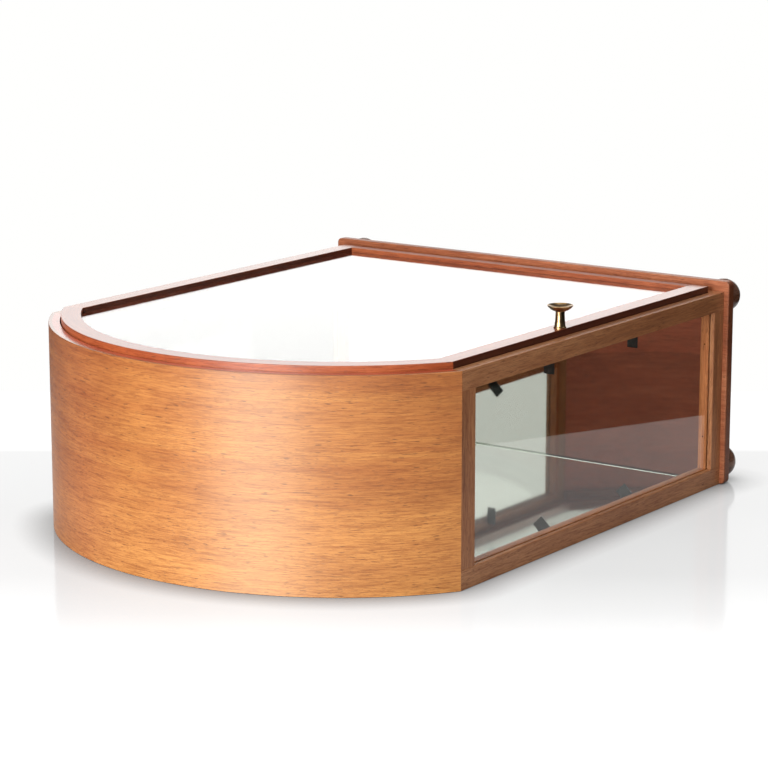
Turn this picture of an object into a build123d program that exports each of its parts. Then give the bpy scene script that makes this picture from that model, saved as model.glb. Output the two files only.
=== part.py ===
"""Arched-top glazed display case, lying on its back with its door facing up.

X runs across the case: the side with the door's knob is at +X, the hinges at -X.
Y runs along it: the arched top is at -Y, the base board and its feet at +Y.
Z is up, through the case from its back (0) to its door.
All dimensions are in millimetres.
"""
import os
from math import cos, radians, sin, sqrt

from build123d import *

# Case
CASE_WIDTH = 400.0
SIDE_LENGTH = 398.0
CASE_DEPTH = 167.0
ARCH_RISE = 109.0
SHELL_THICK = 9.0
END_PANEL_THICK = 9.0
BOARD_THICK = 9.0
BOARD_OVERHANG = 4.8
BOARD_DEPTH = 175.8
BOARD_CORNER = 4.0
FOOT_HEIGHT = 22.0

# Side frames and their windows
SIDE_THICK = 14.5
RAIL_FACE = 15.5
CURVE_STILE_FACE = 18.5
BASE_STILE_FACE = 15.5
LIP_THICK = 3.8
GLASS_THICK = 3.0
RABBET = 5.0
GLASS_PLAY = 0.5
BRAD_RADIUS = 0.7
BRAD_LENGTH = 7.0
BRAD_FROM_END = 28.0

# Back, mirrors and door stops
BACK_THICK = 2.0
BACK_LAP = 5.0
SHELL_BACK_LAP = 4.5
MIRROR_THICK = 3.0
MIRROR_PLAY = 0.3
MIRROR_BEVEL = 1.2
STOP_WIDE = 6.0
STOP_TALL = 8.0
BACK_PIN_RADIUS = 0.8
BACK_PIN_LENGTH = 9.0
BACK_PIN_INSET = 2.4
BACK_PIN_SIDE_Y = (-120.0, -20.0, 80.0, 180.0)
BACK_PIN_ARCH_ANGLES = (-40.0, -14.0, 14.0, 40.0)
BACK_PIN_END_X = (-90.0, 90.0)

# Door
DOOR_MARGIN = 10.0
DOOR_GAP = 1.0
DOOR_PROUD = 5.2
DOOR_THICK = 12.0
DOOR_SEAT_PLAY = 0.2
STILE_FACE = 16.0
BASE_RAIL_FACE = 10.0
DOOR_LIP = 3.7
DOOR_RABBET = 4.0

# Knob
KNOB_HEIGHT = 18.0
KNOB_RADIUS = 10.3
KNOB_EDGE = 0.5
KNOB_FOOT_RADIUS = 5.0
KNOB_RING_TALL = 0.8
KNOB_STEM_RADIUS = 4.5
KNOB_STEM_LOW = 1.2
KNOB_WAIST_RADIUS = 3.6
KNOB_NECK_FLARE = 0.2
KNOB_BOWL_TALL = 5.1
KNOB_DISH_DEEP = 2.6
KNOB_FROM_SIDE = 15.5
KNOB_Y = 0.0
SCREW_RADIUS = 2.0
SCREW_HEAD_RADIUS = 3.5
SCREW_HEAD_TALL = 2.2
SCREW_IN_KNOB = 7.0

# Hinges
HINGE_LENGTH = 40.0
HINGE_STARTS = (-115.0, 145.0)
HINGE_ABOVE_RIM = 2.0
KNUCKLE_RADIUS = 2.2
KNUCKLE_CLEAR = 0.3
KNUCKLE_END = 12.0
KNUCKLE_SLIT = 0.2
PIN_RADIUS = 1.0
PIN_PLAY = 0.05
PIN_HEAD_RADIUS = 1.6
PIN_HEAD = 0.8
LEAF_THICK = 1.0
LEAF_FROM_AXIS = 0.3
LEAF_SEAT_PLAY = 0.6
LEAF_SCREW_FROM_END = 7.0
LEAF_SCREW_UP = 2.7

# Catch
CATCH_RADIUS = 2.7
CATCH_LENGTH = 7.0
CATCH_LIP = 0.12
CATCH_LIP_RADIUS = 1.96
CATCH_BACK_WALL = 0.72
BALL_RADIUS = 2.0
BALL_PLAY = 0.06
BALL_BITE = 0.35
CATCH_HEIGHT = 3.6
STRIKE_THICK = 0.8
STRIKE_LONG = 12.0
STRIKE_TALL = 5.0
STRIKE_HOLE = 1.45
STRIKE_RAISED = 0.3
STRIKE_SCREW_FROM_END = 1.8
SPRING_WIRE = 0.4
SPRING_RADIUS = 1.4
SPRING_TURNS = 3

# Shelf supports
SHELF_LEVELS = (-13.0, 115.0)
SUPPORT_THICK = 1.4
SUPPORT_WIDE = 10.5
FRONT_WIDE = 9.0
FRONT_DROP = 14.2
FRONT_TONGUE = 4.5
TONGUE_RISE = 3.0
TONGUE_LOW = 1.0
BACK_REACH = 19.0

# Feet
FOOT_RADIUS = 14.3
FOOT_HALF = 12.2
FOOT_FROM_SIDE = 11.0
FOOT_HEIGHTS = (15.0, 160.5)
TENON_RADIUS = 4.0
TENON_LENGTH = 8.5

# Screws: head radius, head height, shank radius, length
BOARD_SCREW = (3.2, 2.6, 1.6, 15.5)
HINGE_SCREW = (1.8, 1.0, 0.9, 7.0)
STRIKE_SCREW = (1.3, 0.8, 0.7, 6.0)
BOARD_SCREW_X = (-140.0, 0.0, 140.0)
BOARD_SCREW_Z = (32.0, 138.0)

# Softened edges
ARRIS = 0.7
BOARD_ARRIS = 1.2
ARRIS_FACETS = 4

# Room that a cutting shape is given past the faces that it cuts
PAST = 1.0

# Worked out from the dimensions above
HALF = CASE_WIDTH / 2
ARCH_RADIUS = (HALF ** 2 + ARCH_RISE ** 2) / (2 * ARCH_RISE)
TOTAL_LENGTH = ARCH_RISE + SIDE_LENGTH + BOARD_THICK + FOOT_HEIGHT
SPRING_Y = ARCH_RISE - TOTAL_LENGTH / 2
ARC_Y = SPRING_Y - ARCH_RISE + ARCH_RADIUS
BOARD_Y = SPRING_Y + SIDE_LENGTH
BOARD_OUT_Y = BOARD_Y + BOARD_THICK
END_Y = BOARD_Y - END_PANEL_THICK
SIDE_IN = HALF - SIDE_THICK
LIP_IN = HALF - LIP_THICK
GLASS_IN = LIP_IN - GLASS_THICK
SHELL_IN = ARCH_RADIUS - SHELL_THICK
OPEN_LOW = RAIL_FACE
OPEN_HIGH = CASE_DEPTH - RAIL_FACE
OPEN_START = SPRING_Y + CURVE_STILE_FACE
OPEN_END = BOARD_Y - BASE_STILE_FACE
MIRROR_TOP = BACK_THICK + MIRROR_THICK
DOOR_TOP = CASE_DEPTH + DOOR_PROUD
DOOR_LOW = DOOR_TOP - DOOR_THICK
LEDGE = DOOR_LOW - DOOR_SEAT_PLAY
DOOR_HALF = HALF - DOOR_MARGIN
DOOR_RADIUS = ARCH_RADIUS - DOOR_MARGIN
DOOR_END = BOARD_Y - DOOR_MARGIN
RIM_IN = DOOR_HALF + DOOR_GAP
PANE_HALF = DOOR_HALF - STILE_FACE
PANE_RADIUS = DOOR_RADIUS - STILE_FACE
PANE_END = DOOR_END - BASE_RAIL_FACE
POCKET_TOP = DOOR_TOP - DOOR_LIP
GLASS_LOW = POCKET_TOP - GLASS_THICK
HINGE_X = DOOR_HALF + DOOR_GAP / 2
HINGE_Z = CASE_DEPTH + HINGE_ABOVE_RIM
CATCH_Z = LEDGE + CATCH_HEIGHT

NODES = {}


def block(x, y, z):
    """A box between the two ends given on each axis."""
    size = [high - low for low, high in (x, y, z)]
    middle = [(low + high) / 2 for low, high in (x, y, z)]
    return Pos(*middle) * Box(*size)


def far(shape):
    """The same piece on the hinge side."""
    return mirror(shape, about=Plane.YZ)


def prism(edges, low, high):
    """A flat outline in plan, raised between two heights."""
    return Pos(0, 0, low) * extrude(make_face(edges), amount=high - low, dir=(0, 0, 1))


def corner_y(half_width, radius):
    """Where an arch of this radius meets a straight side."""
    return ARC_Y - sqrt(radius ** 2 - half_width ** 2)


def half_at_spring(radius):
    """Half the width of an arch of this radius where the case's arch springs."""
    return sqrt(radius ** 2 - (SPRING_Y - ARC_Y) ** 2)


def arch_plan(half_width, radius, end_y, low, high):
    """A plate with the plan of the case: straight sides, square base, arched top."""
    spring = corner_y(half_width, radius)
    edges = [
        Line((half_width, spring), (half_width, end_y)),
        Line((half_width, end_y), (-half_width, end_y)),
        Line((-half_width, end_y), (-half_width, spring)),
        ThreePointArc((-half_width, spring), (0, ARC_Y - radius), (half_width, spring)),
    ]
    return prism(edges, low, high)


def rounded_corner(x, z, arris, side):
    """Points around a top corner, from its upright side to its top; side is 1 on the right."""
    if not arris:
        return [(x, z)]
    angles = [radians(90 * step / ARRIS_FACETS) for step in range(ARRIS_FACETS + 1)]
    return [(x - side * arris * (1 - cos(a)), z - arris * (1 - sin(a))) for a in angles]


def top_rounded(inner, outer, low, high, arris_in, arris_out):
    """An upright section between two radii, its top corners rounded in fine facets."""
    right = rounded_corner(outer, high, arris_out, 1)
    left = rounded_corner(inner, high, arris_in, -1)
    points = [(inner, low), (outer, low)] + right + left[::-1]
    return make_face(Polyline(*[(x, 0, z) for x, z in points], close=True))


def arch_bar(inner, outer, low, high, arris_in=0.0, arris_out=0.0):
    """A curved bar between two arches, each given as (half width, radius), cut at its mitres."""
    section = top_rounded(inner[1], outer[1], low, high, arris_in, arris_out)
    ring = Pos(0, ARC_Y, 0) * revolve(section, Axis.Z)
    start = Vector(inner[0], corner_y(*inner))
    end = Vector(outer[0], corner_y(*outer))
    reach = (end - start).normalized() * (outer[1] - inner[1])
    start -= reach
    end += reach
    floor_y = ARC_Y - 2 * outer[1]
    corners = [(start.X, start.Y), (end.X, end.Y), (end.X, floor_y)]
    corners += [(-x, y) for x, y in reversed(corners)]
    edges = [Line(a, b) for a, b in zip(corners, corners[1:] + corners[:1])]
    return ring & prism(edges, low - PAST, high + PAST)


def side_bar(inner, outer, end_y, low, high):
    """A straight bar beside an arch, mitred to the arch bar of the same two outlines."""
    corners = [
        (inner[0], corner_y(*inner)),
        (outer[0], corner_y(*outer)),
        (outer[0], end_y),
        (inner[0], end_y),
    ]
    edges = [Line(start, end) for start, end in zip(corners, corners[1:] + corners[:1])]
    return prism(edges, low, high)


def edges_at(shape, *tests):
    """The edges whose two ends all satisfy every test."""
    def fits(edge):
        ends = (edge @ 0, edge @ 0.5, edge @ 1)
        return all(test(point) for test in tests for point in ends)
    return [edge for edge in shape.edges() if fits(edge)]


def soften(shape, radius, *tests):
    """Round the edges that satisfy the tests."""
    return fillet(edges_at(shape, *tests), radius)


def near(value, axis, tolerance=0.01):
    """A test that a point lies at this value on an axis."""
    return lambda point: abs(getattr(point, axis) - value) < tolerance


def wood_screw(size):
    """A countersunk screw along -Z, its flat head at the origin."""
    head_radius, head_tall, shank_radius, length = size
    points = [
        (0, 0),
        (head_radius, 0),
        (shank_radius, -head_tall),
        (shank_radius, -length + shank_radius),
        (0, -length),
        (0, 0),
    ]
    face = make_face(Polyline(*[(x, 0, z) for x, z in points]))
    return revolve(face, Axis.Z)


def keep(name, shape):
    """Name a finished piece."""
    NODES[name] = shape


# Back panel, with the pins that hold it in its rebate
def make_back():
    panel = arch_plan(SIDE_IN + BACK_LAP, SHELL_IN + SHELL_BACK_LAP, END_Y + BACK_LAP, 0, BACK_THICK)
    pin = Pos(0, 0, BACK_PIN_LENGTH / 2) * Cylinder(BACK_PIN_RADIUS, BACK_PIN_LENGTH)
    side_x = SIDE_IN + BACK_PIN_INSET
    arch_radius = SHELL_IN + BACK_PIN_INSET
    places = [(x, y) for y in BACK_PIN_SIDE_Y for x in (side_x, -side_x)]
    for angle in map(radians, BACK_PIN_ARCH_ANGLES):
        places.append((arch_radius * sin(angle), ARC_Y - arch_radius * cos(angle)))
    places += [(x, END_Y + BACK_PIN_INSET) for x in BACK_PIN_END_X]
    pins = Part() + [Pos(x, y, 0) * pin for x, y in places]
    return panel, pins


back_panel, back_pins = make_back()
keep("back_panel", back_panel - back_pins)
keep("back_panel_pins", back_pins)


# Arched shell: one bent board that is the top of the cabinet
def make_shell():
    inner = (half_at_spring(SHELL_IN), SHELL_IN)
    shell = arch_bar(inner, (HALF, ARCH_RADIUS), 0, CASE_DEPTH, arris_out=ARRIS)
    return shell - back_panel - back_pins


keep("arched_shell", make_shell())


# Shelf supports: plates square to the length, where loose shelves would rest
def front_support(y):
    """A plate that hangs from the top rail, its tongue let into the bead."""
    thick = (y, y + SUPPORT_THICK)
    top = OPEN_HIGH + TONGUE_RISE
    plate = block((SIDE_IN - FRONT_WIDE, SIDE_IN), thick, (OPEN_HIGH - FRONT_DROP, top))
    return plate + block((SIDE_IN, SIDE_IN + FRONT_TONGUE), thick, (OPEN_HIGH - TONGUE_LOW, top))


def back_support(y):
    """A strip that comes out of the corner of back and side at 45 degrees."""
    strip = Box(BACK_REACH + FRONT_TONGUE, SUPPORT_THICK, SUPPORT_WIDE)
    strip = Pos((FRONT_TONGUE - BACK_REACH) / 2, y + SUPPORT_THICK / 2, 0) * strip
    strip = Pos(SIDE_IN, 0, MIRROR_TOP) * Rot(0, 45, 0) * strip
    thick = (y - PAST, y + SUPPORT_THICK + PAST)
    return strip & block((0, SIDE_IN + FRONT_TONGUE), thick, (MIRROR_TOP + MIRROR_PLAY, CASE_DEPTH))


near_front = Part() + [front_support(y) for y in SHELF_LEVELS]
near_back = Part() + [back_support(y) for y in SHELF_LEVELS]
keep("front_shelf_supports", near_front + far(near_front))
keep("back_shelf_supports", near_back + far(near_back))


# Side frames
def glazing_rabbet():
    """The space that glass and beads take up behind the lip of a window."""
    return block((SIDE_IN - PAST, LIP_IN), (OPEN_START - RABBET, OPEN_END + RABBET),
                 (OPEN_LOW - RABBET, OPEN_HIGH + RABBET))


def door_rebate():
    """The step in a top rail that takes the edge of the door."""
    return block((SIDE_IN - PAST, RIM_IN), (SPRING_Y - PAST, END_Y), (LEDGE, CASE_DEPTH + PAST))


def side_frame():
    """Top rail, bottom rail and two stiles of one side."""
    whole = (SPRING_Y, BOARD_Y)
    thick = (SIDE_IN, HALF)
    between = (OPEN_LOW, OPEN_HIGH)
    bars = {
        "top_rail": block(thick, whole, (OPEN_HIGH, CASE_DEPTH)) - door_rebate(),
        "bottom_rail": block(thick, whole, (0, OPEN_LOW)),
        "curve_stile": block(thick, (SPRING_Y, OPEN_START), between),
        "base_stile": block(thick, (OPEN_END, BOARD_Y), between),
    }
    rounded = {
        "top_rail": (near(HALF, "X"), near(CASE_DEPTH, "Z")),
        "bottom_rail": (near(HALF, "X"), near(OPEN_LOW, "Z")),
        "curve_stile": (near(HALF, "X"), near(OPEN_START, "Y")),
        "base_stile": (near(HALF, "X"), near(OPEN_END, "Y")),
    }
    taken = glazing_rabbet() + back_panel + back_pins + near_back
    return {name: soften(bar, ARRIS, *rounded[name]) - taken for name, bar in bars.items()}


def side_beads():
    """The four beads that hold the glass of one side, and the brads through them."""
    deep = (SIDE_IN, GLASS_IN)
    long = (OPEN_START - RABBET, OPEN_END + RABBET)
    tall = (OPEN_LOW, OPEN_HIGH)
    beads = {
        "top": block(deep, long, (OPEN_HIGH, OPEN_HIGH + RABBET)),
        "bottom": block(deep, long, (OPEN_LOW - RABBET, OPEN_LOW)),
        "curve": block(deep, (OPEN_START - RABBET, OPEN_START), tall),
        "base": block(deep, (OPEN_END, OPEN_END + RABBET), tall),
    }
    brad = Pos(0, 0, BRAD_LENGTH / 2) * Cylinder(BRAD_RADIUS, BRAD_LENGTH)
    middle = (SIDE_IN + GLASS_IN) / 2
    brads = []
    for y in (OPEN_START + BRAD_FROM_END, OPEN_END - BRAD_FROM_END):
        brads.append(Pos(middle, y, OPEN_LOW) * Rot(180, 0, 0) * brad)
        brads.append(Pos(middle, y, OPEN_HIGH) * brad)
    for z in (OPEN_LOW + BRAD_FROM_END, OPEN_HIGH - BRAD_FROM_END):
        brads.append(Pos(middle, OPEN_START, z) * Rot(90, 0, 0) * brad)
        brads.append(Pos(middle, OPEN_END, z) * Rot(-90, 0, 0) * brad)
    return beads, Part() + brads


def side_glass():
    """One pane, a little smaller than its rabbet."""
    reach = RABBET - GLASS_PLAY
    return block((GLASS_IN, LIP_IN), (OPEN_START - reach, OPEN_END + reach),
                 (OPEN_LOW - reach, OPEN_HIGH + reach))


# Catch: a sprung ball in the near rail and its strike on the edge of the door
def make_catch():
    along = Pos(RIM_IN, KNOB_Y, CATCH_Z) * Rot(0, 90, 0)
    body = along * Pos(0, 0, CATCH_LENGTH / 2) * Cylinder(CATCH_RADIUS, CATCH_LENGTH)
    bore_start = CATCH_LIP
    bore_end = CATCH_LENGTH - CATCH_BACK_WALL
    bore_mid = (bore_start + bore_end) / 2
    bore = along * Pos(0, 0, bore_mid) * Cylinder(BALL_RADIUS + BALL_PLAY, bore_end - bore_start)
    mouth = along * Pos(0, 0, CATCH_LIP / 2) * Cylinder(CATCH_LIP_RADIUS, CATCH_LIP * 2)
    ball_x = DOOR_HALF - BALL_BITE + BALL_RADIUS
    ball = Pos(ball_x, KNOB_Y, CATCH_Z) * Sphere(BALL_RADIUS)
    travel = DOOR_GAP + BALL_BITE
    spring_start = ball_x + BALL_RADIUS + travel + SPRING_WIRE / 2
    spring_end = RIM_IN + bore_end - SPRING_WIRE / 2
    pitch = (spring_end - spring_start) / SPRING_TURNS
    coil = Helix(pitch, spring_end - spring_start, SPRING_RADIUS)
    wire = Plane(coil @ 0, z_dir=coil % 0) * Circle(SPRING_WIRE / 2)
    spring = Pos(spring_start, KNOB_Y, CATCH_Z) * Rot(0, 90, 0) * sweep(wire, path=coil)
    return body - bore - mouth, body, ball, spring


def make_strike():
    """A plate flush in the edge of the door, with the ball's hole and two screws."""
    middle_z = CATCH_Z + STRIKE_RAISED
    plate = Box(STRIKE_THICK, STRIKE_LONG, STRIKE_TALL)
    plate = Pos(DOOR_HALF - STRIKE_THICK / 2, KNOB_Y, middle_z) * plate
    hole = Pos(DOOR_HALF, KNOB_Y, CATCH_Z) * Rot(0, 90, 0) * Cylinder(STRIKE_HOLE, 3 * STRIKE_THICK)
    screw = Rot(0, 90, 0) * wood_screw(STRIKE_SCREW)
    offset = STRIKE_LONG / 2 - STRIKE_SCREW_FROM_END
    screws = Part() + [Pos(DOOR_HALF, KNOB_Y + y, middle_z) * screw for y in (-offset, offset)]
    return plate, plate - hole - screws, screws


catch_shell, catch_room, catch_ball, catch_spring = make_catch()
strike_room, strike_plate, strike_screws = make_strike()
keep("catch_barrel", catch_shell)
keep("catch_ball", catch_ball)
keep("catch_spring", catch_spring)
keep("strike_plate", strike_plate)
keep("strike_screws", strike_screws)


# Hinges, drawn on the near side and mirrored to the far side
def along_hinge(radius, start, length):
    """A round bar on the hinge axis."""
    return Pos(HINGE_X, start + length / 2, HINGE_Z) * Rot(90, 0, 0) * Cylinder(radius, length)


def hinge_leaf(side, start, spans):
    """A leaf and its knuckles; side is 1 for the case and -1 for the door."""
    edges = sorted((HINGE_X + side * LEAF_FROM_AXIS, HINGE_X + side * (LEAF_FROM_AXIS + LEAF_THICK)))
    low = LEDGE + LEAF_SEAT_PLAY
    below = HINGE_Z - KNUCKLE_RADIUS - 2 * KNUCKLE_CLEAR
    leaf = block(edges, (start, start + HINGE_LENGTH), (low, below))
    for first, last in spans:
        leaf += block(edges, (start + first, start + last), (below, HINGE_Z))
        leaf += along_hinge(KNUCKLE_RADIUS, start + first, last - first)
    return leaf


def leaf_screws(side, start):
    """Two screws through a leaf into the wood behind it."""
    face = HINGE_X + side * LEAF_FROM_AXIS
    height = LEDGE + LEAF_SEAT_PLAY + LEAF_SCREW_UP
    screw = Rot(0, -90 * side, 0) * wood_screw(HINGE_SCREW)
    places = (LEAF_SCREW_FROM_END, HINGE_LENGTH - LEAF_SCREW_FROM_END)
    return Part() + [Pos(face, start + y, height) * screw for y in places]


def make_hinge(start):
    """Case leaf, door leaf, pin, two sets of screws, and the room they need in the wood."""
    middle = (KNUCKLE_END + KNUCKLE_SLIT, HINGE_LENGTH - KNUCKLE_END - KNUCKLE_SLIT)
    outer = ((0, KNUCKLE_END), (HINGE_LENGTH - KNUCKLE_END, HINGE_LENGTH))
    case_screws = leaf_screws(1, start)
    door_screws = leaf_screws(-1, start)
    pin = along_hinge(PIN_RADIUS, start, HINGE_LENGTH)
    heads = along_hinge(PIN_HEAD_RADIUS, start - PIN_HEAD, PIN_HEAD)
    heads += along_hinge(PIN_HEAD_RADIUS, start + HINGE_LENGTH, PIN_HEAD)
    case_leaf = hinge_leaf(1, start, outer) - pin - case_screws
    door_leaf = hinge_leaf(-1, start, (middle,)) - door_screws
    door_leaf -= along_hinge(PIN_RADIUS + PIN_PLAY, start, HINGE_LENGTH)
    end_room = PIN_HEAD + KNUCKLE_CLEAR
    room = along_hinge(KNUCKLE_RADIUS + KNUCKLE_CLEAR, start - end_room, HINGE_LENGTH + 2 * end_room)
    return {
        "case_leaf": case_leaf,
        "door_leaf": door_leaf,
        "pin": pin + heads,
        "case_room": room + hinge_leaf(1, start, ((0, HINGE_LENGTH),)),
        "door_room": room + hinge_leaf(-1, start, ((0, HINGE_LENGTH),)),
        "case_screws": case_screws,
        "door_screws": door_screws,
    }


hinges = [make_hinge(start) for start in HINGE_STARTS]
for place, hinge in zip(("arch_end", "base_end"), hinges):
    for piece in ("case_leaf", "door_leaf", "pin"):
        keep(f"hinge_{piece}_{place}", far(hinge[piece]))
for body in ("case", "door"):
    screws = Part() + [hinge[f"{body}_screws"] for hinge in hinges]
    keep(f"hinge_{body}_screws", far(screws))


# Both sides
frame = side_frame()
beads, brads = side_beads()
hinge_case_room = Part() + [hinge["case_room"] + hinge["case_screws"] for hinge in hinges]
near_frame = {name: bar - brads for name, bar in frame.items()}
far_frame = dict(near_frame)
near_frame["top_rail"] -= catch_room
far_frame["top_rail"] -= hinge_case_room
for name in frame:
    keep(f"near_{name}", near_frame[name])
    keep(f"far_{name}", far(far_frame[name]))
for name, bead in beads.items():
    bead = bead - brads - near_front - near_back
    keep(f"near_bead_{name}", bead)
    keep(f"far_bead_{name}", far(bead))
keep("bead_brads", brads + far(brads))
keep("near_side_glass", side_glass())
keep("far_side_glass", far(side_glass()))


# Base: end panel, base board with screws, and four turned feet
def make_foot():
    """A bun with a tenon, its axis along +Y and its seat on the plane Y = 0."""
    middle = FOOT_HEIGHT / 2
    tip = FOOT_RADIUS * sqrt(1 - (middle / FOOT_HALF) ** 2)
    bulge = ThreePointArc((tip, 0), (FOOT_RADIUS, middle), (tip, FOOT_HEIGHT))
    profile = [
        bulge,
        Line((tip, FOOT_HEIGHT), (0, FOOT_HEIGHT)),
        Line((0, FOOT_HEIGHT), (0, -TENON_LENGTH)),
        Line((0, -TENON_LENGTH), (TENON_RADIUS, -TENON_LENGTH)),
        Line((TENON_RADIUS, -TENON_LENGTH), (TENON_RADIUS, 0)),
        Line((TENON_RADIUS, 0), (tip, 0)),
    ]
    return revolve(make_face(profile), Axis.Y)


def make_base():
    """End panel, base board, their screws and the feet."""
    screw = Rot(-90, 0, 0) * wood_screw(BOARD_SCREW)
    screws = Part() + [Pos(x, BOARD_OUT_Y, z) * screw for x in BOARD_SCREW_X for z in BOARD_SCREW_Z]
    foot_x = HALF - FOOT_FROM_SIDE
    feet = {}
    for height, level in zip(FOOT_HEIGHTS, ("back", "front")):
        for x, side in ((foot_x, "near"), (-foot_x, "far")):
            feet[f"foot_{side}_{level}"] = Pos(x, BOARD_OUT_Y, height) * make_foot()
    end_panel = block((-SIDE_IN, SIDE_IN), (END_Y, BOARD_Y), (0, CASE_DEPTH))
    end_panel = end_panel - back_panel - back_pins - screws
    half = HALF + BOARD_OVERHANG
    board = block((-half, half), (BOARD_Y, BOARD_OUT_Y), (0, BOARD_DEPTH))
    board = fillet(board.edges().filter_by(Axis.Y), BOARD_CORNER)
    board = fillet(board.edges().filter_by(Axis.Y, reverse=True), BOARD_ARRIS)
    board = board - screws
    for foot in feet.values():
        board -= foot
    return end_panel, board, screws, feet


end_panel, base_board, base_screws, feet = make_base()
keep("end_panel", end_panel)
keep("base_board", base_board)
keep("base_board_screws", base_screws)
for name, foot in feet.items():
    keep(name, foot)


# Mirrors and door stops
mirror_half = SIDE_IN - MIRROR_PLAY
back_mirror = arch_plan(mirror_half, SHELL_IN - MIRROR_PLAY, END_Y - MIRROR_PLAY, BACK_THICK, MIRROR_TOP)
base_mirror = block((-mirror_half, mirror_half), (END_Y - MIRROR_THICK, END_Y),
                    (MIRROR_TOP, LEDGE - STOP_TALL))
seam = edges_at(base_mirror, near(END_Y - MIRROR_THICK, "Y"), near(MIRROR_TOP, "Z"))
base_mirror = chamfer(seam, MIRROR_BEVEL)
keep("back_mirror", back_mirror)
keep("base_mirror", base_mirror)
stop_in = SHELL_IN - STOP_WIDE
keep("arch_door_stop", arch_bar((half_at_spring(stop_in), stop_in), (half_at_spring(SHELL_IN), SHELL_IN),
                                LEDGE - STOP_TALL, LEDGE))
keep("base_door_stop", block((-SIDE_IN, SIDE_IN), (END_Y - STOP_WIDE, END_Y), (LEDGE - STOP_TALL, LEDGE)))


# Door
def sphere_arc(start, end):
    """An arc between two points of a profile, its centre on the axis of revolution."""
    (start_r, start_z), (end_r, end_z) = start, end
    rise = end_z ** 2 + end_r ** 2 - start_z ** 2 - start_r ** 2
    centre = rise / (2 * (end_z - start_z))
    radius = sqrt(start_r ** 2 + (start_z - centre) ** 2)
    middle_r = (start_r + end_r) / 2
    middle = (middle_r, centre - sqrt(radius ** 2 - middle_r ** 2))
    return ThreePointArc(start, middle, end)


def make_knob():
    """A trumpet-shaped knob, its seat at the origin."""
    waist = (KNOB_WAIST_RADIUS, KNOB_HEIGHT - KNOB_BOWL_TALL)
    stem = (KNOB_STEM_RADIUS, KNOB_STEM_LOW)
    neck = (KNOB_WAIST_RADIUS + KNOB_NECK_FLARE, (stem[1] + waist[1]) / 2)
    side = (KNOB_RADIUS, KNOB_HEIGHT - KNOB_EDGE)
    rim = (KNOB_RADIUS - KNOB_EDGE, KNOB_HEIGHT)
    dish = (0, KNOB_HEIGHT - KNOB_DISH_DEEP)
    profile = [
        Line((0, 0), (KNOB_FOOT_RADIUS, 0)),
        Line((KNOB_FOOT_RADIUS, 0), (KNOB_FOOT_RADIUS, KNOB_RING_TALL)),
        Line((KNOB_FOOT_RADIUS, KNOB_RING_TALL), stem),
        ThreePointArc(stem, neck, waist),
        sphere_arc(waist, side),
        Line(side, rim),
        sphere_arc(rim, dish),
        Line(dish, (0, 0)),
    ]
    face = Plane.XZ * make_face(profile)
    return revolve(face, Axis.Z)


def make_door():
    """Frame bars, glass, beads, knob and its screw."""
    outer = (DOOR_HALF, DOOR_RADIUS)
    inner = (PANE_HALF, PANE_RADIUS)
    pocket = (PANE_HALF + DOOR_RABBET, PANE_RADIUS + DOOR_RABBET)
    pocket_end = PANE_END + DOOR_RABBET
    room = arch_plan(*pocket, pocket_end, DOOR_LOW - PAST, POCKET_TOP)
    top = near(DOOR_TOP, "Z")
    stile = side_bar(inner, outer, DOOR_END, DOOR_LOW, DOOR_TOP)
    for x in (DOOR_HALF, PANE_HALF):
        stile = soften(stile, ARRIS, top, near(x, "X"))
    arch = arch_bar(inner, outer, DOOR_LOW, DOOR_TOP, arris_in=ARRIS, arris_out=ARRIS)
    base_rail = block((-PANE_HALF, PANE_HALF), (PANE_END, DOOR_END), (DOOR_LOW, DOOR_TOP))
    for y in (PANE_END, DOOR_END):
        base_rail = soften(base_rail, ARRIS, top, near(y, "Y"))
    knob_x = HALF - KNOB_FROM_SIDE
    shank_top = DOOR_TOP + SCREW_IN_KNOB
    shank = Pos(0, 0, (DOOR_LOW + shank_top) / 2) * Cylinder(SCREW_RADIUS, shank_top - DOOR_LOW)
    head = Pos(0, 0, DOOR_LOW + SCREW_HEAD_TALL / 2) * Cylinder(SCREW_HEAD_RADIUS, SCREW_HEAD_TALL)
    screw = Pos(knob_x, KNOB_Y, 0) * (shank + head)
    hinge_room = far(Part() + [hinge["door_room"] + hinge["door_screws"] for hinge in hinges])
    play = GLASS_PLAY
    glass = arch_plan(pocket[0] - play, pocket[1] - play, pocket_end - play, GLASS_LOW, POCKET_TOP)
    side_bead = side_bar(inner, pocket, pocket_end, DOOR_LOW, GLASS_LOW)
    return {
        "door_near_stile": stile - room - screw - strike_room - strike_screws,
        "door_far_stile": far(stile - room) - hinge_room,
        "door_arched_rail": arch - room,
        "door_base_rail": base_rail - room,
        "door_glass": glass,
        "door_bead_near": side_bead,
        "door_bead_far": far(side_bead),
        "door_bead_arch": arch_bar(inner, pocket, DOOR_LOW, GLASS_LOW),
        "door_bead_base": block((-PANE_HALF, PANE_HALF), (PANE_END, pocket_end), (DOOR_LOW, GLASS_LOW)),
        "knob": Pos(knob_x, KNOB_Y, DOOR_TOP) * make_knob() - screw,
        "knob_screw": screw,
    }


for name, shape in make_door().items():
    keep(name, shape)

os.makedirs("parts", exist_ok=True)
for name, shape in NODES.items():
    export_step(shape, f"parts/{name}.step")
    print(f"{name:28s} solids {len(shape.solids())}  volume {shape.volume:12.1f}")
print(len(NODES), "nodes")
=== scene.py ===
"""Looks of an arched-top glazed display case that lies on its back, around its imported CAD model.

Lengths are in metres, in the CAD model's frame: +Z up, the arched top at -Y, the knob's side at +X.
"""
from math import cos, pi, radians, sin

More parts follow.
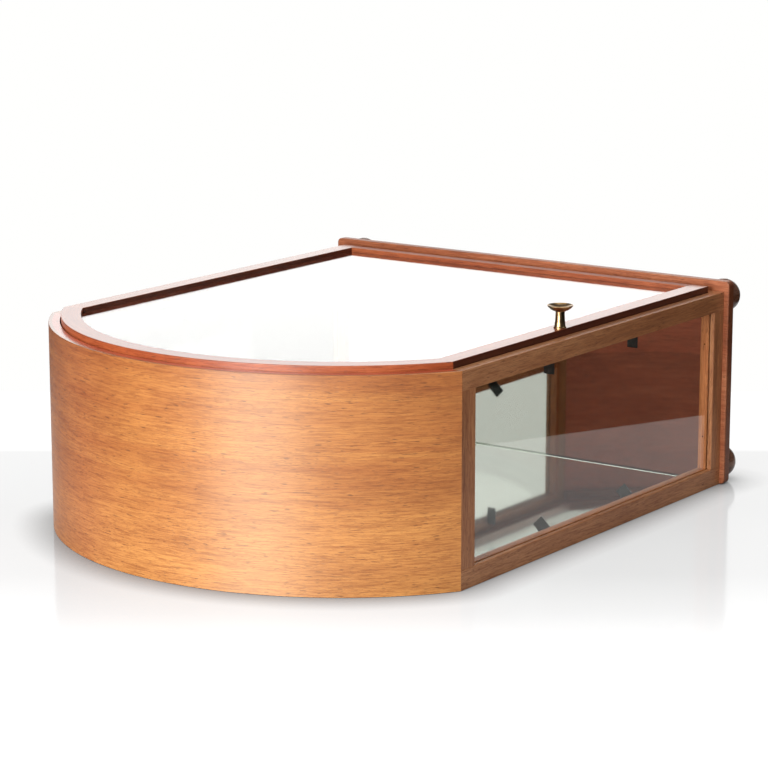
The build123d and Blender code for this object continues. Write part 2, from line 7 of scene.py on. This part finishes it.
import bmesh
import bpy
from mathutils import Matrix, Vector


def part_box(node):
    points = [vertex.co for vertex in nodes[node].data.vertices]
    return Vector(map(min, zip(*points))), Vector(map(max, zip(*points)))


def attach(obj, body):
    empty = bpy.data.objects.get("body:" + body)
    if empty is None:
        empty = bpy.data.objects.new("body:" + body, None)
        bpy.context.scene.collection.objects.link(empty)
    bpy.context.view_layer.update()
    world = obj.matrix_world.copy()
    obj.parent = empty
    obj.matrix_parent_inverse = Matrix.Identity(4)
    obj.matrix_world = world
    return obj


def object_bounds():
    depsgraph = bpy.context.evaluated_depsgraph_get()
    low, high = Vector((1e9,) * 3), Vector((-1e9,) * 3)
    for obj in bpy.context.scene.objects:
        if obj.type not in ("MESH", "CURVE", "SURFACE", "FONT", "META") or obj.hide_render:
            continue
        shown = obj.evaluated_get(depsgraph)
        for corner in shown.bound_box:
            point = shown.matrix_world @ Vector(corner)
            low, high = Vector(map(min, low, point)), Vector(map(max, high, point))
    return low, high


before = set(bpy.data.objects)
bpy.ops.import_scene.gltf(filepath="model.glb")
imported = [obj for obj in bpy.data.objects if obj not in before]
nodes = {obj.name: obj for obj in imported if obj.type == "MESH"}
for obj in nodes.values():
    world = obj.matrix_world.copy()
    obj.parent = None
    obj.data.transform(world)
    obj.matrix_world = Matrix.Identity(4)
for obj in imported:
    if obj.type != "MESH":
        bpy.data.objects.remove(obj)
cad_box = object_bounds()

# Camera
CAMERA_PLACE = (1.2911, -1.7980, 0.5801)
CAMERA_TILT = (77.87, 0.0, 35.33)
LENS = 129.18

# Room: directions and strengths; the cove is the way that the camera looks
COVE_WAY = (-0.578, 0.816, 0.0)
WALL_WAY = (-0.52, -0.81, 0.245)
COVE_POWER = 1.8
WALL_POWER = 0.95
ROOM_POWER = 0.10
UNDER_POWER = 0.01

# Table: corners on the floor plane; its painted glow, though it is no lamp, as seen, as mirrored and as
# cast on other things;
# its painted light along the way that the camera looks, brighter toward the camera and in a far strip; and
# the reach and depth of the painted shadow where things touch it
TABLE_CORNERS = ((0.879, -0.725), (0.221, 0.708), (-1.076, -0.211), (-0.18, -1.476))
TABLE_THICK = 0.03
TABLE_GAP = 0.0003
GLOW_SEEN = 1.30
GLOW_MIRRORED = 0.94
GLOW_CAST = 0.64
TABLE_GLOW = ((0.30, 255), (0.34, 226), (0.38, 203), (0.42, 188), (0.50, 182), (0.5805, 182), (0.5825, 198))
SHADOW_REACH = 0.035
SHADOW_DEPTH = 1.6

# Lamps: place, the point each faces, width and height, watts. The strip is there to be mirrored by
# the base mirror's bevel.
LAMPS = {
    "key": ((0.14, -1.75, 0.40), (0.05, -0.25, 0.1), (0.92, 0.8), 44),
    "fill": ((1.55, -2.3, 1.2), (0, 0, 0.05), (1.4, 1.4), 14),
    "overhead": ((0.3, 0.1, 2.1), (0, 0, 0.1), (2.2, 3.0), 29),
    "bevel_strip": ((-1.15, -0.32, 2.1), (-1.15, -0.32, 0), (0.75, 0.35), 1.4),
}

# Slotted screw heads: slot and height as parts of the radius, rings as parts of height and radius,
# and the turn of the first slot and of each next one
SLOT_WIDE = 0.13
HEAD_RAISED = 0.10
HEAD_LEVELS = ((-0.2, 1.0), (0.6, 1.0), (1.0, 0.9))
HEAD_STEPS = 20
HEAD_NEAR = 0.00005
WELD = 0.00001
FIRST_SLOT = 0.5
SLOT_STEP = 1.3

# The shell's arc, worked out from its box: a chord across the case and its rise
shell_low, shell_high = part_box("arched_shell")
half_width = shell_high.x
arch_rise = shell_high.y - shell_low.y
ARC_RADIUS = (half_width ** 2 + arch_rise ** 2) / (2 * arch_rise)
ARC_Y = shell_low.y + ARC_RADIUS


# ---------------------------------------------------------------- node helpers
# How far one seed moves the noise
SEED_STEP = (3.1, 1.7, 2.3)


class Graph:
    """A material's or world's node tree, with short ways to add to it."""

    def __init__(self, owner):
        owner.use_nodes = True
        self.tree = owner.node_tree
        self.tree.nodes.clear()

    def add(self, kind, sockets=None, **settings):
        """A node of this kind; sockets are numbers, colours or other nodes' outputs."""
        made = self.tree.nodes.new(kind)
        for key, value in settings.items():
            setattr(made, key, value)
        for key, value in (sockets or {}).items():
            self.plug(made.inputs[key], value)
        return made

    def plug(self, socket, value):
        if isinstance(value, bpy.types.NodeSocket):
            self.tree.links.new(value, socket)
        else:
            socket.default_value = value

    def maths(self, operation, *values, clamp=False):
        sockets = dict(enumerate(values))
        return self.add("ShaderNodeMath", sockets, operation=operation, use_clamp=clamp).outputs[0]

    def ramp(self, value, *stops):
        """A colour ramp; each stop is a place and a colour or a grey."""
        made = self.add("ShaderNodeValToRGB", {"Fac": value})
        elements = made.color_ramp.elements
        while len(elements) < len(stops):
            elements.new(0.5)
        for element, (place, colour) in zip(elements, stops):
            element.position = place
            element.color = rgba(colour)
        return made.outputs["Color"]

    def mix(self, factor, a, b, blend="MIX"):
        """Two colours blended; each is another node's output, a grey or a colour."""
        a, b = (item if isinstance(item, bpy.types.NodeSocket) else rgba(item) for item in (a, b))
        sockets = {0: factor, 6: a, 7: b}
        made = self.add("ShaderNodeMix", sockets, data_type="RGBA", blend_type=blend, clamp_result=True)
        return made.outputs[2]

    def stretched(self, place, scale, seed):
        """Coordinates scaled differently along each axis and moved by a seed."""
        sockets = {"Vector": place, "Scale": scale, "Location": [seed * step for step in SEED_STEP]}
        return self.add("ShaderNodeMapping", sockets).outputs[0]

    def split(self, vector):
        """The X, Y and Z of a vector."""
        return self.add("ShaderNodeSeparateXYZ", {0: vector}).outputs

    def object_place(self):
        return self.add("ShaderNodeTexCoord").outputs["Object"]

    def dot(self, vector, way):
        """How far a vector lies along a fixed direction."""
        made = self.add("ShaderNodeVectorMath", {0: vector, 1: way}, operation="DOT_PRODUCT")
        return made.outputs["Value"]

    def noise(self, place, scale, detail=2.0, roughness=0.5, distortion=0.0):
        sockets = {"Vector": place, "Scale": scale, "Detail": detail, "Roughness": roughness,
                   "Distortion": distortion}
        return self.add("ShaderNodeTexNoise", sockets).outputs["Fac"]

    def principled(self, **sockets):
        named = {key.replace("_", " "): value for key, value in sockets.items()}
        return self.add("ShaderNodeBsdfPrincipled", named)

    def surface(self, shader):
        self.add("ShaderNodeOutputMaterial", {"Surface": shader.outputs[0]})


def rgba(colour):
    """A grey or a colour given in sRGB from 0 to 255, as a linear colour with alpha."""
    values = colour if isinstance(colour, (tuple, list)) else (colour,) * 3
    return tuple(linear(value / 255) for value in values[:3]) + (1.0,)


def linear(value):
    return value / 12.92 if value <= 0.04045 else ((value + 0.055) / 1.055) ** 2.4


def new_material(name):
    material = bpy.data.materials.new(name)
    return material, Graph(material)


def dress(name, material):
    """Give a CAD node one material all over."""
    mesh = nodes[name].data
    for index in range(max(len(mesh.materials), 1)):
        if index < len(mesh.materials):
            mesh.materials[index] = material
        else:
            mesh.materials.append(material)


# ---------------------------------------------------------------- wood
# Layers of the figure: scale along, across and through the grain, seed offset, then the noise's
# detail, roughness and distortion
BANDS = ((2.2, 16.0, 16.0), 0, 3.0, 0.5, 0.9)
STREAKS = ((7.0, 150.0, 150.0), 2, 3.0, 0.55, 0.4)
RIBBON = ((14.0, 30.0, 30.0), 5, 2.0, 0.5, 0.5)
FIBRES = ((56.0, 980.0, 980.0), 9, 3.0, 0.62, 0.9)
PORES = ((210.0, 2500.0, 2500.0), 13, 1.0, 0.4)
PORE_ZONE = ((9.0, 60.0, 60.0), 21, 1.0)
NICKS = ((125.0, 820.0, 820.0), 31, 0.0)

# How strongly each layer shows
TONE_STOPS = (0.26, 0.44, 0.66)
BAND_SHARE = 0.62
RIBBON_TINT = ((0.3, (190, 160, 140)), (0.72, 255))
RIBBON_DEPTH = 0.35
FIBRE_TINT = ((0.36, (172, 132, 104)), (0.58, 255))
FIBRE_DEPTH = 0.6
FIBRE_HEIGHT = 0.35
PORE_LEAST = 0.56
PORE_SPREAD = 0.16
PORE_DEPTH = 0.55
NICK_LEAST = 0.74
NICK_DEPTH = 0.6
MARK_EDGE = 14.0
# Strength of the painted shade on faces that look along X
SIDE_SHADE_DEPTH = 0.9
ROUGH_SPREAD = 0.12
FACES_UP = 0.7

# The shell's colours: the depth of its red hollow side, painted bounce light from the table toward its back
# edge, and painted shade toward its far end, partly the veneer's own redder tone
INNER_PLY = 0.003
BOUNCE_SHARE = 0.55
BOUNCE_HEIGHT = 0.1
SHELL_BOUNCE_TONE = (214, 152, 84)
# Painted shade toward the shell's far end, where the key light falls off, partly the veneer's own redder
# tone
FAR_END_SHADE_AND_TINT = ((0.16, (224, 212, 228)), (0.32, (238, 224, 237)), (0.444, 255))

# Tones from dark to light, then the pores
PORE = (78, 38, 22)
# Painted shade on faces that look along X: the door stiles' edges and the base board's ends
STILE_SIDE_SHADE = (104, 70, 62)
BOARD_SIDE_SHADE = (172, 162, 142)
SHELL_TONES = ((142, 76, 34), (169, 103, 49), (192, 130, 66), PORE)
SHELL_INNER_TONES = ((170, 68, 46), (204, 93, 64), (222, 112, 80))
FRAME_TONES = ((132, 84, 54), (182, 122, 80), (206, 148, 102), PORE)
BEAD_TONES = ((142, 79, 44), (192, 114, 67), (212, 143, 88), PORE)
DOOR_TONES = ((118, 54, 30), (162, 82, 46), (184, 104, 62), PORE)
BOARD_TONES = ((132, 76, 48), (178, 106, 70), (202, 132, 92), PORE)
INSIDE_TONES = ((84, 38, 26), (128, 62, 42), (158, 84, 58), PORE)
FOOT_TONES = ((84, 54, 38), (118, 79, 58), (144, 100, 75), (40, 24, 16))

# Polish: roughness, coat, coat on top faces, specular level, specular tint, stretch of the gloss
SATIN = (0.44, 0.08, 0.08, 0.3, 255, 0.0)
POLISHED = (0.36, 0.10, 0.65, 0.4, 255, 0.0)
SHELL_POLISH = (0.50, 0.0, 1.0, 1.0, (255, 246, 226), 0.75)
FOOT_POLISH = (0.24, 0.5, 0.5, 0.5, 255, 0.0)


def along_grain(graph, grain):
    """Coordinates whose X runs along the grain: straight along one axis, or round the arch."""
    x, y, z = graph.split(graph.object_place())
    if grain == "arch":
        back_y = graph.maths("SUBTRACT", ARC_Y, y)
        angle = graph.maths("ARCTAN2", x, back_y)
        length = graph.maths("MULTIPLY", angle, ARC_RADIUS)
        squares = graph.maths("ADD", graph.maths("MULTIPLY", x, x), graph.maths("MULTIPLY", back_y, back_y))
        radius = graph.maths("SQRT", squares)
        order = (length, z, radius)
    else:
        order = {"x": (x, z, y), "y": (y, z, x), "z": (z, x, y)}[grain]
    return graph.add("ShaderNodeCombineXYZ", dict(enumerate(order))).outputs[0]


def shell_colour(graph, place, colour, tone, inner):
    """The shell gets painted bounce light from the table toward its back edge and painted shade toward its
    far end, partly the veneer's own redder tone; it is red on its hollow side.
    """
    length, height, radius = graph.split(place)
    # Painted bounce light: paler toward the back edge, which rests on the table
    bounce = graph.ramp(graph.maths("MULTIPLY", height, 1 / BOUNCE_HEIGHT), (0.0, 255), (1.0, 0))
    colour = graph.mix(graph.maths("MULTIPLY", bounce, BOUNCE_SHARE), colour, SHELL_BOUNCE_TONE)
    # Painted shade, darker and redder toward the far end, partly the veneer's own redder tone
    far_shade_and_tint = graph.ramp(graph.maths("MULTIPLY_ADD", length, 2.0, 0.5), *FAR_END_SHADE_AND_TINT)
    colour = graph.mix(1.0, colour, far_shade_and_tint, "MULTIPLY")
    outside = graph.maths("GREATER_THAN", radius, ARC_RADIUS - INNER_PLY)
    return graph.mix(outside, graph.ramp(tone, *zip(TONE_STOPS, inner)), colour)


def wood(name, grain, seed, tones, polish, inner=None, side_shade=None):
    """Lacquered mahogany: broad bands, a ribbon figure, fine fibres, short dark pores and a few nicks.

    Polish is roughness, coat, coat on faces that look up, specular level and tint, and how far
    gloss is stretched across the fibres. Inner tones are for the hollow side of the shell.
    A painted side shade darkens the faces that look along X, where they turn from the light.
    """
    *shades, pore = tones
    roughness, coat, top_coat, specular, tint, stretch = polish
    material, graph = new_material(name)
    place = along_grain(graph, grain)

    def layer(shape):
        scale, offset, *settings = shape
        return graph.noise(graph.stretched(place, scale, seed + offset), 1.0, *settings)

    fibres = layer(FIBRES)
    tone = graph.maths("MULTIPLY", layer(STREAKS), 1 - BAND_SHARE)
    tone = graph.maths("MULTIPLY_ADD", layer(BANDS), BAND_SHARE, tone)
    colour = graph.ramp(tone, *zip(TONE_STOPS, shades))
    if inner:
        colour = shell_colour(graph, place, colour, tone, inner)
    colour = graph.mix(RIBBON_DEPTH, colour, graph.ramp(layer(RIBBON), *RIBBON_TINT), "MULTIPLY")
    colour = graph.mix(FIBRE_DEPTH, colour, graph.ramp(fibres, *FIBRE_TINT), "MULTIPLY")
    least = graph.maths("MULTIPLY_ADD", layer(PORE_ZONE), PORE_SPREAD, PORE_LEAST)
    mark = graph.maths("MULTIPLY", graph.maths("SUBTRACT", layer(PORES), least), MARK_EDGE, clamp=True)
    colour = graph.mix(graph.maths("MULTIPLY", mark, PORE_DEPTH), colour, pore)
    nick = graph.maths("MULTIPLY", graph.maths("SUBTRACT", layer(NICKS), NICK_LEAST), MARK_EDGE, clamp=True)
    colour = graph.mix(graph.maths("MULTIPLY", nick, NICK_DEPTH), colour, pore)
    facing = graph.split(graph.add("ShaderNodeTexCoord").outputs["Normal"])
    # Painted shade: faces that look along X are darkened
    if side_shade:
        side = graph.maths("ABSOLUTE", facing["X"])
        colour = graph.mix(graph.maths("MULTIPLY", side, SIDE_SHADE_DEPTH), colour, side_shade, "MULTIPLY")
    if top_coat > coat:
        up = graph.maths("GREATER_THAN", facing["Z"], FACES_UP)
        coat = graph.maths("MULTIPLY_ADD", up, top_coat - coat, coat)

    height = graph.maths("MULTIPLY_ADD", mark, -1.0, graph.maths("MULTIPLY", fibres, FIBRE_HEIGHT))
    bump = graph.add("ShaderNodeBump", {"Strength": 0.18, "Distance": 0.0003, "Height": height})
    rough = graph.maths("MULTIPLY_ADD", fibres, ROUGH_SPREAD, roughness - ROUGH_SPREAD / 2)
    shader = graph.principled(
        Base_Color=colour, Roughness=rough, Normal=bump.outputs[0], Coat_Weight=coat,
        Coat_Roughness=0.15, Anisotropic=stretch, Anisotropic_Rotation=0.25,
        Specular_IOR_Level=specular, Specular_Tint=rgba(tint))
    if stretch:
        round_z = graph.add("ShaderNodeTangent", direction_type="RADIAL", axis="Z").outputs[0]
        graph.plug(shader.inputs["Tangent"], round_z)
    graph.surface(shader)
    return material


def dress_wood():
    """Each wooden piece has its own board, with the grain along its length."""
    dress("arched_shell", wood("shell_veneer", "arch", 1, SHELL_TONES, SHELL_POLISH, SHELL_INNER_TONES))
    dress("arch_door_stop", wood("arch_stop_wood", "arch", 4, INSIDE_TONES, SATIN))
    dress("door_arched_rail", wood("door_arch_wood", "arch", 7, DOOR_TONES, POLISHED))
    dress("door_bead_arch", wood("door_arch_bead_wood", "arch", 8, INSIDE_TONES, SATIN))
    seed = 10
    frame_pieces = (
        ("top_rail", "y", FRAME_TONES, POLISHED),
        ("bottom_rail", "y", FRAME_TONES, SATIN),
        ("curve_stile", "z", FRAME_TONES, SATIN),
        ("base_stile", "z", FRAME_TONES, SATIN),
        ("bead_top", "y", BEAD_TONES, SATIN),
        ("bead_bottom", "y", BEAD_TONES, SATIN),
        ("bead_curve", "z", BEAD_TONES, SATIN),
        ("bead_base", "z", BEAD_TONES, SATIN),
    )
    for piece, grain, tones, polish in frame_pieces:
        for side in ("near", "far"):
            seed += 1
            name = f"{side}_{piece}"
            dress(name, wood(f"{name}_wood", grain, seed, tones, polish))
    # The last column is the painted shade on faces that look along X
    others = (
        ("door_near_stile", "y", DOOR_TONES, POLISHED, STILE_SIDE_SHADE),
        ("door_far_stile", "y", DOOR_TONES, POLISHED, STILE_SIDE_SHADE),
        ("door_base_rail", "x", DOOR_TONES, SATIN, None),
        ("door_bead_near", "y", INSIDE_TONES, SATIN, None),
        ("door_bead_far", "y", INSIDE_TONES, SATIN, None),
        ("door_bead_base", "x", INSIDE_TONES, SATIN, None),
        ("base_door_stop", "x", INSIDE_TONES, SATIN, None),
        ("end_panel", "x", FRAME_TONES, SATIN, None),
        ("base_board", "x", BOARD_TONES, SATIN, BOARD_SIDE_SHADE),
        ("back_panel", "y", INSIDE_TONES, SATIN, None),
    )
    for name, grain, tones, polish, side_shade in others:
        seed += 1
        dress(name, wood(f"{name}_wood", grain, seed, tones, polish, side_shade=side_shade))
    foot = wood("foot_wood", "y", 60, FOOT_TONES, FOOT_POLISH)
    for name in nodes:
        if name.startswith("foot_"):
            dress(name, foot)


# ---------------------------------------------------------------- glass, mirror and metal
def clear_glass():
    """Float glass. Lamps' rays pass it straight, so what is behind it is lit."""
    material, graph = new_material("clear_glass")
    pane = graph.principled(Base_Color=(0.975, 0.985, 0.965, 1.0), Roughness=0.0, IOR=1.5,
                            Transmission_Weight=1.0)
    open_air = graph.add("ShaderNodeBsdfTransparent", {"Color": (0.90, 0.93, 0.91, 1.0)})
    path = graph.add("ShaderNodeLightPath")
    both = graph.add("ShaderNodeMixShader", {0: path.outputs["Is Shadow Ray"], 1: pane.outputs[0],
                                             2: open_air.outputs[0]})
    graph.surface(both)
    return material


def mirror_glass():
    """Silvered glass, a little dusty and greenish."""
    material, graph = new_material("mirror_silver")
    place = graph.object_place()
    haze = graph.noise(place, 9.0, 4.0, 0.6)
    specks = graph.noise(place, 420.0, 2.0, 0.5)
    rough = graph.maths("MULTIPLY_ADD", haze, 0.05, 0.004)
    colour = graph.mix(graph.ramp(specks, (0.70, 0), (0.78, 110)), (222, 225, 220), (120, 118, 108))
    shader = graph.principled(Base_Color=colour, Metallic=1.0, Roughness=rough)
    graph.surface(shader)
    return material


def brass():
    """Brass with fine turning marks and a thin brown tarnish."""
    material, graph = new_material("turned_brass")
    place = graph.object_place()
    cloud = graph.noise(place, 260.0, 4.0, 0.6)
    turned = graph.noise(graph.stretched(place, (20.0, 20.0, 5200.0), 2), 1.0, 2.0)
    colour = graph.ramp(cloud, (0.32, (134, 105, 72)), (0.52, (164, 134, 96)), (0.72, (186, 157, 118)))
    rough = graph.maths("MULTIPLY_ADD", cloud, 0.14, 0.16)
    bump = graph.add("ShaderNodeBump", {"Strength": 0.08, "Distance": 0.0001, "Height": turned})
    shader = graph.principled(Base_Color=colour, Metallic=1.0, Roughness=rough, Normal=bump.outputs[0])
    graph.surface(shader)
    return material


def dark_plate():
    """Blackened steel plate, rubbed paler at random."""
    material, graph = new_material("blackened_steel")
    place = graph.object_place()
    rub = graph.noise(place, 300.0, 5.0, 0.65)
    scratch = graph.noise(graph.stretched(place, (90.0, 900.0, 1600.0), 3), 1.0, 2.0)
    colour = graph.ramp(rub, (0.35, (22, 23, 22)), (0.62, (44, 45, 42)), (0.80, (82, 82, 76)))
    rough = graph.maths("MULTIPLY_ADD", scratch, 0.3, 0.25)
    bump = graph.add("ShaderNodeBump", {"Strength": 0.15, "Distance": 0.0002, "Height": rub})
    shader = graph.principled(Base_Color=colour, Metallic=0.35, Roughness=rough, Normal=bump.outputs[0])
    graph.surface(shader)
    return material


def plain_steel():
    """Bright steel with a faint grey bloom."""
    material, graph = new_material("plain_steel")
    place = graph.object_place()
    bloom = graph.noise(place, 700.0, 3.0, 0.6)
    colour = graph.ramp(bloom, (0.35, (128, 126, 122)), (0.70, (176, 175, 172)))
    rough = graph.maths("MULTIPLY_ADD", bloom, 0.25, 0.22)
    shader = graph.principled(Base_Color=colour, Metallic=1.0, Roughness=rough)
    graph.surface(shader)
    return material


def dress_glass_and_metal():
    glass = clear_glass()
    silver = mirror_glass()
    turned = brass()
    steel = plain_steel()
    plate = dark_plate()
    for name in nodes:
        if "glass" in name:
            dress(name, glass)
        elif "mirror" in name:
            dress(name, silver)
        elif "shelf_supports" in name:
            dress(name, plate)
        elif name in ("catch_ball", "catch_spring", "knob_screw", "back_panel_pins", "base_board_screws"):
            dress(name, steel)
        elif name == "knob" or name.startswith(("hinge_", "catch_", "strike_", "bead_brads")):
            dress(name, turned)
    return steel, turned


# ---------------------------------------------------------------- screw heads
def islands(node):
    """The points of each loose part of a CAD node, in the shared frame."""
    mesh = nodes[node].data
    build = bmesh.new()
    build.from_mesh(mesh)
    bmesh.ops.remove_doubles(build, verts=build.verts[:], dist=WELD)
    waiting = set(build.verts)
    found = []
    while waiting:
        part, edge = [], [waiting.pop()]
        while edge:
            vert = edge.pop()
            part.append(nodes[node].matrix_world @ vert.co)
            for link in vert.link_edges:
                other = link.other_vert(vert)
                if other in waiting:
                    waiting.remove(other)
                    edge.append(other)
        found.append(part)
    build.free()
    return sorted(found, key=lambda part: tuple(round(value, 4) for value in part_middle(part)))


def part_middle(part):
    return [(min(p[i] for p in part) + max(p[i] for p in part)) / 2 for i in range(3)]


def screw_head(part):
    """The middle, the outward direction and the radius of a screw's head: the wider of its two ends."""
    middle = Vector(part_middle(part))
    extents = [max(p[i] for p in part) - min(p[i] for p in part) for i in range(3)]
    axis = extents.index(max(extents))
    unit = Vector([float(i == axis) for i in range(3)])
    ends = []
    for side in (-1, 1):
        face = middle[axis] + side * extents[axis] / 2
        at_end = [p - middle for p in part if abs(p[axis] - face) < HEAD_NEAR]
        ends.append((max((p - unit * p[axis]).length for p in at_end), side))
    radius, side = max(ends)
    return middle + unit * (side * extents[axis] / 2), unit * side, radius


def half_round(build, centre, along, out, across, radius):
    """One half of a slotted head: a low prism on a half disc, its outer edge chamfered."""
    gap = radius * SLOT_WIDE
    rings = []
    for level, size in HEAD_LEVELS:
        ring = []
        for step in range(HEAD_STEPS + 1):
            angle = pi * step / HEAD_STEPS
            flat = along * (radius * size * cos(angle)) + across * max(radius * size * sin(angle), gap)
            ring.append(build.verts.new(centre + flat + out * (radius * HEAD_RAISED * level)))
        rings.append(ring)
    build.faces.new(rings[0])
    build.faces.new(rings[-1])
    for lower, upper in zip(rings, rings[1:]):
        for index in range(len(lower)):
            after = (index + 1) % len(lower)
            build.faces.new((lower[index], lower[after], upper[after], upper[index]))


def slotted_heads(node, body, material):
    """Raise two half-rounds on the head of every screw of a CAD node, with a slot between them."""
    mesh = bpy.data.meshes.new(f"{node}_slots")
    build = bmesh.new()
    for number, part in enumerate(islands(node)):
        centre, out, radius = screw_head(part)
        unit = Vector([abs(value) for value in out])
        first = Vector((unit.z, unit.x, unit.y))
        angle = FIRST_SLOT + SLOT_STEP * number
        along = first * cos(angle) + unit.cross(first) * sin(angle)
        across = unit.cross(along)
        half_round(build, centre, along, out, across, radius)
        half_round(build, centre, along, out, -across, radius)
    bmesh.ops.recalc_face_normals(build, faces=build.faces[:])
    build.to_mesh(mesh)
    build.free()
    mesh.materials.append(material)
    piece = bpy.data.objects.new(f"{node}_slots", mesh)
    bpy.context.scene.collection.objects.link(piece)
    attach(piece, body)


def detail_screws(steel, turned):
    slotted_heads("base_board_screws", "case", steel)
    slotted_heads("hinge_case_screws", "case", turned)
    slotted_heads("hinge_door_screws", "door", turned)
    slotted_heads("strike_screws", "door", turned)


# ---------------------------------------------------------------- studio
def table_top():
    """A white gloss table that glows with painted light: brighter toward the camera, brighter again in a
    far strip beyond the case's middle that stands in for light from the cove, and dimmed by a painted
    shadow where things touch it.
    """
    mesh = bpy.data.meshes.new("table_top")
    build = bmesh.new()
    build.faces.new([build.verts.new((x, y, 0)) for x, y in TABLE_CORNERS])
    slab = bmesh.ops.extrude_face_region(build, geom=build.faces[:])
    lower = [item for item in slab["geom"] if isinstance(item, bmesh.types.BMVert)]
    bmesh.ops.translate(build, verts=lower, vec=(0, 0, -TABLE_THICK))
    bmesh.ops.recalc_face_normals(build, faces=build.faces[:])
    build.to_mesh(mesh)
    build.free()
    table = bpy.data.objects.new("table_top", mesh)
    bpy.context.scene.collection.objects.link(table)
    table.location = (0, 0, cad_box[0].z - TABLE_GAP)
    material, graph = new_material("table_white")
    place = graph.object_place()
    # Painted light: the glow's tone along the way that the camera looks
    away = graph.maths("MULTIPLY_ADD", graph.dot(place, COVE_WAY), 0.4, 0.5)
    # Painted shadow: the glow is dimmed where things come near the table
    open_sky = graph.add("ShaderNodeAmbientOcclusion", {"Distance": SHADOW_REACH}, samples=8).outputs["AO"]
    path = graph.add("ShaderNodeLightPath").outputs
    # The glow is painted light, set apart for the camera, for mirrored rays and for light cast on other
    # things
    power = graph.maths("MULTIPLY_ADD", path["Is Camera Ray"], GLOW_SEEN - GLOW_MIRRORED, GLOW_MIRRORED)
    power = graph.maths("MULTIPLY_ADD", path["Is Diffuse Ray"], GLOW_CAST - GLOW_MIRRORED, power)
    shaded = graph.maths("MULTIPLY", graph.maths("POWER", open_sky, SHADOW_DEPTH), power)
    shader = graph.principled(Base_Color=rgba(97), Roughness=0.10, IOR=1.11, Emission_Strength=shaded,
                              Emission_Color=graph.ramp(away, *TABLE_GLOW))
    graph.surface(shader)
    mesh.materials.append(material)


def softbox(name, place, aim, size, power):
    """A rectangular white lamp that faces a point."""
    lamp = bpy.data.lights.new(name, "AREA")
    lamp.shape = "RECTANGLE"
    lamp.size, lamp.size_y = size
    lamp.energy = power
    holder = bpy.data.objects.new(name, lamp)
    holder.location = place
    holder.rotation_euler = (Vector(aim) - Vector(place)).to_track_quat("-Z", "Y").to_euler()
    bpy.context.scene.collection.objects.link(holder)


def studio_world():
    """A white cove behind the case, one pale patch in front and a dim room; the camera sees white."""
    world = bpy.data.worlds.new("studio")
    bpy.context.scene.world = world
    graph = Graph(world)
    direction = graph.add("ShaderNodeTexCoord").outputs["Generated"]
    cove = graph.ramp(graph.dot(direction, COVE_WAY), (0.80, 0), (0.95, 255))
    wall = graph.ramp(graph.dot(direction, WALL_WAY), (0.95, 0), (0.985, 255))
    height = graph.split(direction)[2]
    above = graph.ramp(graph.maths("MULTIPLY_ADD", height, 0.5, 0.5), (0.48, 0), (0.51, 255))
    bright = graph.maths("MULTIPLY_ADD", wall, WALL_POWER, ROOM_POWER)
    bright = graph.maths("MULTIPLY_ADD", cove, COVE_POWER, bright)
    strength = graph.maths("MULTIPLY_ADD", bright, above, UNDER_POWER)
    seen = graph.add("ShaderNodeLightPath").outputs["Is Camera Ray"]
    shown = graph.add("ShaderNodeMix", {0: seen, 2: strength, 3: 1.0}, data_type="FLOAT").outputs[0]
    background = graph.add("ShaderNodeBackground", {"Color": (1.0, 1.0, 0.99, 1.0), "Strength": shown})
    graph.add("ShaderNodeOutputWorld", {"Surface": background.outputs[0]})


def make_studio():
    table_top()
    studio_world()
    for name, settings in LAMPS.items():
        softbox(name, *settings)


def make_camera():
    data = bpy.data.cameras.new("camera")
    data.lens = LENS
    data.clip_end = 50
    camera = bpy.data.objects.new("camera", data)
    camera.location = CAMERA_PLACE
    camera.rotation_euler = [radians(angle) for angle in CAMERA_TILT]
    bpy.context.scene.collection.objects.link(camera)
    bpy.context.scene.camera = camera


dress_wood()
detail_screws(*dress_glass_and_metal())
make_studio()
make_camera()
bpy.context.scene.view_settings.view_transform = "Standard"
